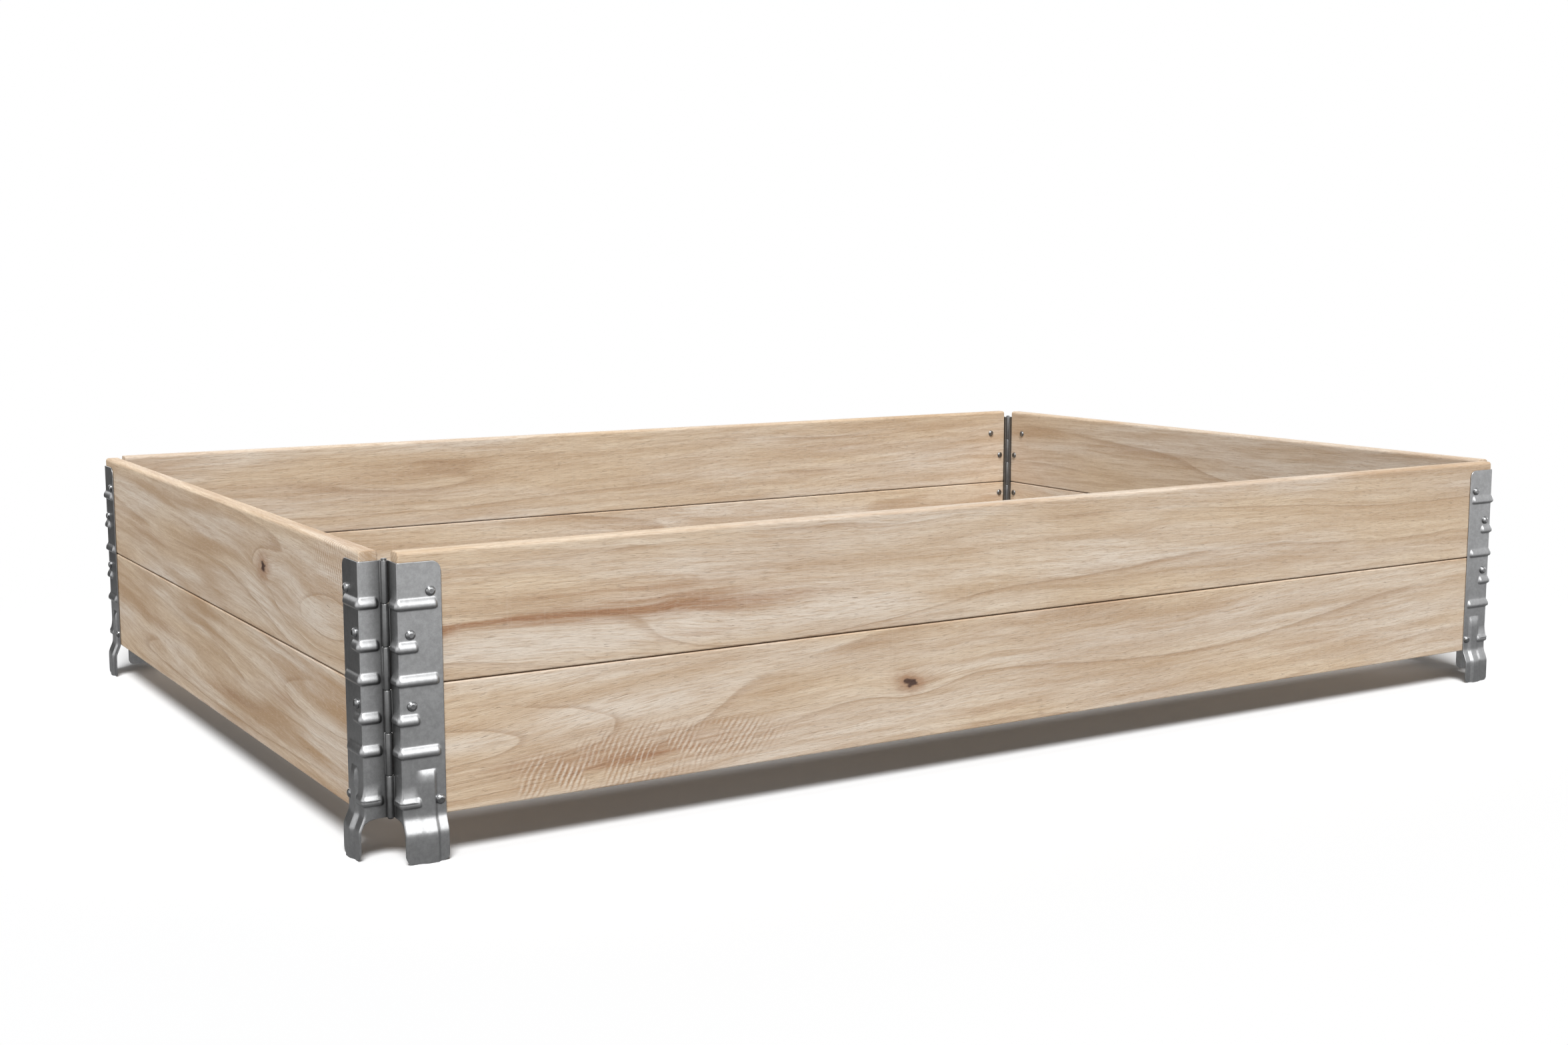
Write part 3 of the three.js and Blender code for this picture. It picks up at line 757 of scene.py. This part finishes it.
def wood(name, along, inward, origin, size, seed, lean, spacing, tone, marks):
    """Planed wood of one board, from its place along, up and into the board in metres.
    The yearly rings are levels of a wavering field that rises across the board. Noses and knots
    lift it, so that rings run round them. Browns and pales tint it, flecks are short strokes at
    an angle, and a knot has a dark heart."""
    material, make = new_material(name)
    place_at = object_place(make)
    middle = origin + along * size[0] * MM / 2
    a = place_at.dot(tuple(along)) - float(middle @ along)
    u = place_at.dot(tuple(UP)) - float(origin[2])
    d = place_at.dot(tuple(inward)) - float(origin @ inward)

    # Sway of the grain, and the field whose levels are the rings
    slow = make.noise(a * 5 + seed, u * 20, d * 20, detail=2.0) - 0.5
    wave = make.noise(a * 26, u * 60 + seed, d * 60, detail=2.0) - 0.5
    shiver = make.noise(a * 160, u * 340, d * 340 + seed, detail=1.0) - 0.5
    drift = make.noise(a * 1.7 + seed * 2, u * 5, d * 5, detail=1.0) - 0.5
    a_bent = a + slow * SWAY_ALONG[0] + wave * SWAY_ALONG[1]
    u_bent = u + slow * SWAY_UP[0] + wave * SWAY_UP[1] + shiver * SWAY_UP[2]
    across = u_bent + d * RING_DEPTH + a * lean
    field = across / spacing + drift * RING_DRIFT

    # Marks
    brown = pale = near = stroke_dark = stroke_pale = heart = blush = 0.0
    for kind, at, height, long, tall, depth in marks:
        hill = hump(a_bent, u_bent, at, height, long, tall)
        if kind in ("nose", "knot"):
            field = field + hill * depth
            across = across + hill * (depth * NOSE_LIFT)
            near = near + hill
        if kind == "brown":
            brown = brown + hill * depth
        if kind == "pale":
            pale = pale + hill * depth
        if kind == "fleck":
            rank = (u * math.cos(depth) - a * math.sin(depth)) / FLECK_SPACING
            rank = rank + slow * SWAY_FLECKS[0] + wave * SWAY_FLECKS[1] + shiver * SWAY_FLECKS[2]
            stroke = make.math("PINGPONG", rank, 0.5) * 2.0
            broken = make.noise(a * FLECK_BREAKS, u * FLECK_BREAKS + seed, 0.0)
            where = hill.step(0.15, 0.7) * broken.step(0.36, 0.54)
            stroke_dark = stroke_dark + where * stroke.step(0.55, 0.86)
            stroke_pale = stroke_pale + where * (1 - stroke.step(0.16, 0.48))
        if kind == "knot":
            x = (a_bent - at) / (long * KNOT_CORE[0])
            y = (u_bent - height) / (tall * KNOT_CORE[1])
            far = (x * x + y * y) ** 0.5 + wave * 1.6 + shiver * 1.0
            heart = heart + (1 - far.step(0.25, 0.85))
            blush = blush + (1 - far.step(0.5, 2.8))

    # Rings, and where they show
    ring = make.math("FRACT", field)
    soft = ring.step(0.30, 0.97) * (1 - ring.step(0.97, 1.0))
    thin = ring.step(0.86, 0.968) * (1 - ring.step(0.968, 1.0))
    close = make.math("PINGPONG", field * 5.0 + wave, 1.0)
    shown = (make.noise(a * 7 + seed, u * 34, d * 34, detail=2.0) + near * 0.22).step(0.42, 0.66)

    # Broad tints, planing marks, and the grain from coarse to fine
    broad = make.noise(a * 3 + seed * 2, u * 24, d * 24, detail=2.0).step(0.34, 0.66)
    plane = make.noise(a * 620, u * 9 + seed, 0.0, detail=1.0).step(0.56, 0.80)
    grain = {
        kind: make.noise(a * rate + seed * times, across * fine, d * fine, detail, roughness)
        for kind, (rate, fine, times, detail, roughness) in GRAIN.items()
    }
    fibre, fuzz = grain["fibre"], grain["fuzz"]
    cloud, streak = grain["cloud"].step(0.40, 0.72), grain["streak"].step(0.38, 0.72)
    pore, speck = grain["pore"].step(0.62, 0.74), grain["speck"].step(0.73, 0.77)

    # Colour, layer over layer
    calm = 1 - pale.step(0.0, 1.0) * CALM_SHARE if pale else 1.0
    rings = soft * (RING_SHARE[0] + shown * RING_SHARE[1])
    tint = broad.between(CREAM, COOL)
    if pale:
        tint = pale.step(0.0, 1.0).between(tint, COOL)
    tint = (cloud * calm * (CLOUD_SHARE + tone)).between(tint, TAN)
    tint = ((streak * STREAK_SHARE + rings + close * CLOSE_SHARE) * calm).between(tint, TAN)
    if brown:
        stain = brown * (0.30 + streak * 0.60 + fibre * 0.9)
        tint = stain.step(0.0, 1.1).between(tint, RUST)
    tint = (thin * shown * LINE_SHARE).between(tint, LINE)
    if stroke_dark:
        tint = (stroke_pale * STROKE_SHARE).between(tint, COOL)
        tint = (stroke_dark * STROKE_SHARE).between(tint, RUST)
    tint = (fibre.step(0.42, 0.70) * FIBRE_SHARE).between(tint, TAN)
    tint = (fuzz.step(0.53, 0.74) * FUZZ_DARK_SHARE).between(tint, LINE)
    tint = ((1 - fuzz).step(0.52, 0.76) * FUZZ_PALE_SHARE).between(tint, COOL)
    tint = (plane * PLANE_SHARE).between(tint, COOL)
    tint = (pore * PORE_SHARE + speck * SPECK_SHARE).between(tint, PORE)
    if heart:
        tint = (blush * BLUSH_SHARE).step(0.0, 1.0).between(tint, RUST)
        tint = heart.step(0.0, 1.0).between(tint, HEART)

    # Sawn ends
    half = size[0] * MM / 2
    end = make.math("ABSOLUTE", a).step(half - END_DEPTH[0], half - END_DEPTH[1])
    layer = make.math("PINGPONG", across / LAYER_SPACING + wave * 1.5, 0.5) * 2.0
    tint = (end * (END_SHARE[0] + layer.step(0.5, 0.95) * END_SHARE[1])).between(tint, TAN)

    # Relief and gloss
    height = fibre * 0.6 + fuzz * 0.9 - pore * 1.1 - speck * 1.0 - thin * 0.3 - stroke_dark * 0.2
    bump = make.node("ShaderNodeBump", {**WOOD_BUMP, "Height": height})
    rough = WOOD_ROUGHNESS + fibre * 0.14 + pore * 0.1
    surface(make, {"Base Color": tint, "Roughness": rough, "Normal": bump, "IOR": WOOD_IOR})
    return material


def zinc(name, light, dark, rough):
    """Satin zinc on steel: soft patches of two greys, a fine grain in the roughness, and painted
    shade round the pins, where the zinc turns darker and rougher towards the knuckles' recess."""
    material, make = new_material(name)
    at = object_place(make)
    x, y, z = (at.dot(axis) for axis in ((1.0, 0.0, 0.0), (0.0, 1.0, 0.0), (0.0, 0.0, 1.0)))
    patch = make.noise(x * PATCH, y * PATCH, z * PATCH, detail=4.0, roughness=0.65)
    cloud = make.noise(x * CLOUD, y * CLOUD, z * CLOUD, detail=2.0)
    grain = make.noise(x * SPANGLE, y * SPANGLE, z * SPANGLE, detail=2.0, roughness=0.6)
    tint = (patch * 0.5 + cloud * 0.25 + grain * 0.25).step(*ZINC_RANGE).between(light, dark)
    past_x = make.math("ABSOLUTE", x) - PIN_PLACE[0]
    past_y = make.math("ABSOLUTE", y) - PIN_PLACE[1]
    # Painted shade: the colour darkens towards each pin, where the knuckles' recess lies in shade
    near_pin = 1 - ((past_x * past_x + past_y * past_y) ** 0.5).step(*PIN_SHADE_REACH)
    tint = (near_pin * PIN_SHADE_SHARE).between(tint, PIN_SHADE)
    gloss = rough + (cloud - 0.5) * 0.08 + (grain - 0.5) * 0.10 + near_pin * PIN_DULL
    bump = make.node("ShaderNodeBump", {**ZINC_BUMP, "Height": grain + patch * 2.0})
    surface(make, {"Base Color": tint, "Metallic": 1.0, "Roughness": gloss, "Normal": bump})
    return material


# Wood of each board: seed, lean of the rings, ring spacing, tone, and marks: kind, along, height,
# length, tallness, and depth or angle, in metres, rings and radians
BOARDS = {
    "front_upper": (3.1, 0.020, 0.040, 0.10, (
        ("brown", -0.556, 0.0350, 0.016, 0.0050, 1.10),
        ("brown", -0.510, 0.0392, 0.050, 0.0016, 0.70),
        ("brown", -0.430, 0.0392, 0.070, 0.0018, 0.60),
        ("brown", -0.480, 0.0355, 0.080, 0.0045, 0.42),
        ("brown", -0.370, 0.0350, 0.090, 0.0060, 0.46),
        ("brown", -0.280, 0.0325, 0.080, 0.0065, 0.36),
        ("brown", -0.380, 0.0480, 0.170, 0.0150, 0.52),
        ("brown", -0.330, 0.0150, 0.040, 0.0045, 0.40),
        ("pale", -0.470, 0.0180, 0.130, 0.0120, 1.2),
        ("pale", -0.200, 0.0200, 0.080, 0.0110, 1.2),
        ("nose", -0.250, 0.0120, 0.150, 0.0200, 1.2),
        ("nose", 0.060, 0.0300, 0.240, 0.0200, 0.5),
        ("nose", 0.420, 0.0780, 0.260, 0.0180, 0.5),
    )),
    "front_lower": (11.7, -0.030, 0.055, 0.12, (
        ("nose", -0.580, 0.0420, 0.210, 0.0360, 3.2),
        ("nose", 0.050, 0.0700, 0.300, 0.0240, 0.6),
        ("pale", -0.400, 0.0600, 0.070, 0.0110, 1.0),
        ("pale", -0.530, 0.0480, 0.060, 0.0100, 0.7),
        ("brown", -0.480, 0.0230, 0.060, 0.0130, 0.34),
        ("brown", -0.405, 0.0180, 0.034, 0.0045, 0.60),
        ("brown", -0.370, 0.0240, 0.110, 0.0200, 0.52),
        ("fleck", -0.395, 0.0220, 0.070, 0.0240, 1.08),
        ("fleck", -0.465, 0.0160, 0.035, 0.0160, 1.02),
        ("fleck", -0.310, 0.0240, 0.045, 0.0160, 0.95),
        ("knot", -0.141, 0.0480, 0.034, 0.0110, 0.9),
        ("brown", -0.125, 0.0500, 0.020, 0.0070, 0.40),
        ("brown", -0.060, 0.0160, 0.090, 0.0050, 0.32),
        ("brown", 0.350, 0.0300, 0.150, 0.0060, 0.26),
    )),
    "left_upper": (5.9, 0.040, 0.050, 0.54, (
        ("knot", 0.1560, 0.0550, 0.034, 0.0120, 0.9),
        ("nose", 0.3000, 0.0300, 0.130, 0.0320, 2.4),
        ("pale", 0.2800, 0.0320, 0.060, 0.0160, 0.9),
        ("fleck", 0.3250, 0.0800, 0.050, 0.0200, -1.25),
        ("brown", -0.180, 0.0360, 0.120, 0.0060, 0.34),
        ("brown", -0.050, 0.0620, 0.100, 0.0050, 0.28),
    )),
    "left_lower": (17.3, 0.060, 0.034, 0.78, (
        ("nose", -0.200, 0.0160, 0.200, 0.0160, 0.8),
        ("nose", 0.050, 0.0240, 0.180, 0.0150, 0.8),
        ("nose", 0.300, 0.0560, 0.160, 0.0160, 1.3),
        ("brown", 0.040, 0.0240, 0.060, 0.0060, 0.45),
        ("brown", 0.200, 0.0500, 0.060, 0.0050, 0.40),
        ("brown", -0.160, 0.0500, 0.100, 0.0060, 0.40),
    )),
    "right_upper": (23.9, 0.030, 0.045, 0.16, (
        ("nose", -0.100, 0.0400, 0.200, 0.0240, 0.8),
        ("brown", 0.150, 0.0600, 0.120, 0.0060, 0.30),
    )),
    "right_lower": (29.3, -0.030, 0.050, 0.20, (
        ("nose", 0.120, 0.0500, 0.180, 0.0220, 0.8),
        ("knot", -0.160, 0.0350, 0.032, 0.0110, 0.9),
    )),
    "back_upper": (37.1, 0.020, 0.045, 0.14, (
        ("nose", 0.250, 0.0400, 0.240, 0.0240, 0.8),
        ("brown", -0.300, 0.0600, 0.150, 0.0050, 0.36),
    )),
    "back_lower": (41.7, -0.020, 0.050, 0.20, (
        ("nose", -0.200, 0.0500, 0.240, 0.0240, 0.8),
        ("knot", 0.310, 0.0400, 0.034, 0.0110, 0.9),
    )),
}

leaf_zinc = zinc("leaf_zinc", colour(0.40, 0.403, 0.408), colour(0.315, 0.317, 0.32), 0.34)
fastener_zinc = zinc("fastener_zinc", colour(0.28, 0.282, 0.285), colour(0.20, 0.202, 0.205), 0.24)

# Boards
for wall in WALLS:
    along, inward = wall_axes(wall)
    for tier, top_radius in (("lower", ARRIS_RADIUS), ("upper", RIM_RADIUS)):
        node = f"{wall}_{tier}_board"
        origin, size = board_place(node, along, inward)
        points, groups = board_shell(*size, top_radius)
        planed = wood(f"{node}_wood", along, inward, origin, size, *BOARDS[f"{wall}_{tier}"])
        shell = (place(points, origin, along, inward), groups)
        add_piece(f"{node}_planed", [shell], planed, wall, node)

# Leaves with their knuckles
leaf_points, leaf_groups = sheet_shell(*leaf_sides())
knuckle_tops = [KNUCKLE_TOP - i * KNUCKLE_PITCH for i in range(KNUCKLE_COUNT)]
for wall, (start, end, _, _) in WALLS.items():
    along, inward = wall_axes(wall)
    origin, size = board_place(f"{wall}_lower_board", along, inward)
    ground = origin * (1, 1, 0)
    far_end = ground + along * size[0] * MM
    for corner, at, way, first in ((start, ground, along, 1), (end, far_end, -along, 0)):
        knuckles = [knuckle_shell(top) for top in knuckle_tops[first::2]]
        shells = [(leaf_points, leaf_groups)] + knuckles
        shells = [(place(points, at, way, inward), groups) for points, groups in shells]
        node = f"{wall}_wall_leaf_at_{corner}"
        add_piece(f"{node}_pressed", shells, leaf_zinc, wall, node)

# Rivets and pins
for wall, (start, end, _, _) in WALLS.items():
    along, inward = wall_axes(wall)
    nodes = [f"{wall}_wall_rivet_{i}_at_{corner}" for corner in (start, end) for i in (1, 2, 3, 4)]
    for node in nodes:
        low, high = (np.array(corner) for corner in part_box(node))
        depth = abs((high - low) @ inward)
        head = (low + high) / 2 - inward * depth / 2
        shell = turned_shell(rivet_profile(depth / MM), head, inward, along)
        add_piece(f"{node}_set", [shell], fastener_zinc, wall, node, HEAD_CREASE)
    node = f"hinge_pin_{end}"
    low, high = (np.array(corner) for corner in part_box(node))
    foot = np.array(((low[0] + high[0]) / 2, (low[1] + high[1]) / 2, low[2]))
    shell = turned_shell(pin_profile((high[2] - low[2]) / MM), foot, UP, along)
    add_piece(f"{node}_headed", [shell], fastener_zinc, wall, node, HEAD_CREASE)


# Floor: its paint for the camera and for the light that it sends back, and, by distance from the
# frame's sides, how it runs out to white for the camera and from a grey to white in metal, the
# grey being painted shadow
FLOOR_HALF = 30.0
HALF_LENGTH, HALF_WIDTH = 0.6, 0.4
SEEN_FADE = (0.0, 0.5)
SHOWN_FADE = (0.1, 1.15)
WHITE = colour(1.0, 1.0, 1.0)
FLOOR_PAINT = colour(0.865, 0.87, 0.875)
FLOOR_BOUNCE = colour(0.45, 0.455, 0.46)
FLOOR_SHADE_IN_METAL = colour(0.30, 0.30, 0.30)

# Lamps
WORLD_LEVEL = 0.06
KEY_TOWARDS = (-0.75, -1.3, 2.3)
KEY_LEVEL = 1.20
KEY_SPREAD = 24.0

# Softboxes: name, place, target, width, height, brightness, and whether matt surfaces see it
SOFTBOXES = (
    ("softbox_front", (0.0, -2.35, 1.3), (-0.1, -0.4, 0.1), 3.0, 1.5, 2.6, False),
    ("softbox_left", (-2.4, -0.5, 0.6), (-0.6, 0.0, 0.1), 1.9, 0.9, 0.8, True),
    ("softbox_back", (0.1, 2.6, 0.55), (0.0, 0.4, 0.1), 2.4, 0.8, 2.6, True),
    ("softbox_right", (2.8, 0.1, 0.55), (0.6, 0.0, 0.1), 1.9, 0.8, 2.4, True),
)

# Dark cards that only reflections show, painted shade in the metal: both ends of the foot, and the
# height
DARK_CARDS = {
    "dark_card_left": ((-0.74, -0.2), (-0.74, 0.3), 0.24),
    "dark_card_back": ((-1.0, 0.8), (-0.62, 0.8), 0.26),
}
CARD_SHADE = colour(0.06, 0.06, 0.06)

# Camera
AZIMUTH = math.radians(-31.952)
ELEVATION = math.radians(7.704)
CAMERA_PLACE = (-1.0480, -1.6586, 0.4226)
SENSOR_WIDTH = 36.0
LENS_LENGTH = 44.05


def studio_floor():
    """A pale level floor that keeps the shadow and runs out to plain white far away."""
    ways = ((-1, -1), (1, -1), (1, 1), (-1, 1))
    corners = [(FLOOR_HALF * x, FLOOR_HALF * y, 0) for x, y in ways]
    mesh = bpy.data.meshes.new("studio_floor")
    mesh.from_pydata(corners, [], [(0, 1, 2, 3)])
    floor = bpy.data.objects.new("studio_floor", mesh)
    bpy.context.scene.collection.objects.link(floor)
    material, make = new_material("studio_floor_white")
    at = object_place(make)
    x, y = at.dot((1.0, 0.0, 0.0)), at.dot((0.0, 1.0, 0.0))
    past_x = make.math("MAXIMUM", make.math("ABSOLUTE", x) - HALF_LENGTH, 0.0)
    past_y = make.math("MAXIMUM", make.math("ABSOLUTE", y) - HALF_WIDTH, 0.0)
    far = (past_x * past_x + past_y * past_y) ** 0.5
    direct, mirrored = rays(make)
    share = direct * far.step(*SEEN_FADE) + mirrored
    # Painted shadow in reflections: metal sees the floor grey near the frame and white far off
    tint = mirrored.between(WHITE, far.step(*SHOWN_FADE).between(FLOOR_SHADE_IN_METAL, WHITE))
    bounce = make.node("ShaderNodeBsdfDiffuse", {"Color": FLOOR_BOUNCE})
    paint = make.node("ShaderNodeBsdfDiffuse", {"Color": FLOOR_PAINT})
    paint = make.node("ShaderNodeMixShader", {0: direct, 1: bounce, 2: paint})
    white = make.node("ShaderNodeEmission", {"Color": tint, "Strength": 1.0})
    mixed = make.node("ShaderNodeMixShader", {0: share, 1: paint, 2: white})
    make.node("ShaderNodeOutputMaterial", {"Surface": mixed})
    mesh.materials.append(material)


def rays(make):
    """1 for what the camera sees directly, and 1 for what it sees in a reflection or through
    glass."""
    direct, glossy, through = (
        make.node("ShaderNodeLightPath", {}, output=name)
        for name in ("Is Camera Ray", "Is Glossy Ray", "Is Transmission Ray")
    )
    return direct, make.math("MAXIMUM", glossy, through)


def studio_world(level):
    """Even grey light from all round, which is white where it is seen."""
    world = bpy.data.worlds.new("studio_world")
    world.use_nodes = True
    tree = world.node_tree
    tree.nodes.clear()
    make = Shade(tree)
    strength = make.math("MAXIMUM", *rays(make)) * (1 - level) + level
    sky = make.node("ShaderNodeBackground", {"Color": WHITE, "Strength": strength})
    make.node("ShaderNodeOutputWorld", {"Surface": sky})
    bpy.context.scene.world = world


def softbox(name, at, target, width, height, radiance, on_matt):
    """A flat lamp that looks at its target, with the same brightness over its face."""
    lamp = bpy.data.lights.new(name, "AREA")
    lamp.shape = "RECTANGLE"
    lamp.size, lamp.size_y = width, height
    lamp.energy = radiance * math.pi * width * height
    box = bpy.data.objects.new(name, lamp)
    box.location = at
    box.rotation_euler = (Vector(at) - Vector(target)).to_track_quat("Z", "Y").to_euler()
    box.visible_diffuse = on_matt
    bpy.context.scene.collection.objects.link(box)


def key_light(name, towards, level, spread):
    """An even light from far off, of a given level on a face turned to it, with soft shadows."""
    lamp = bpy.data.lights.new(name, "SUN")
    lamp.energy = level * math.pi
    lamp.angle = math.radians(spread)
    key = bpy.data.objects.new(name, lamp)
    key.rotation_euler = Vector(towards).to_track_quat("Z", "Y").to_euler()
    bpy.context.scene.collection.objects.link(key)


def dark_card(name, start, end, height):
    """A flat upright card that only reflections show: a painted dark reflection."""
    corners = [(*start, 0), (*end, 0), (*end, height), (*start, height)]
    mesh = bpy.data.meshes.new(name)
    mesh.from_pydata(corners, [], [(0, 1, 2, 3)])
    card = bpy.data.objects.new(name, mesh)
    bpy.context.scene.collection.objects.link(card)
    material, make = new_material(f"{name}_cloth")
    reflected_shade = make.node("ShaderNodeBsdfDiffuse", {"Color": CARD_SHADE})
    make.node("ShaderNodeOutputMaterial", {"Surface": reflected_shade})
    mesh.materials.append(material)
    card.visible_camera = card.visible_diffuse = card.visible_shadow = False


studio_floor()
studio_world(WORLD_LEVEL)
key_light("key_light", KEY_TOWARDS, KEY_LEVEL, KEY_SPREAD)
for box in SOFTBOXES:
    softbox(*box)
for name, card in DARK_CARDS.items():
    dark_card(name, *card)

back = Vector((
    math.sin(AZIMUTH) * math.cos(ELEVATION),
    -math.cos(AZIMUTH) * math.cos(ELEVATION),
    math.sin(ELEVATION),
))
lens = bpy.data.cameras.new("photo_camera")
lens.sensor_width = SENSOR_WIDTH
lens.lens = LENS_LENGTH
camera = bpy.data.objects.new("photo_camera", lens)
camera.location = CAMERA_PLACE
camera.rotation_euler = back.to_track_quat("Z", "Y").to_euler()
bpy.context.scene.collection.objects.link(camera)
bpy.context.scene.camera = camera

bpy.context.scene.view_settings.view_transform = "Standard"
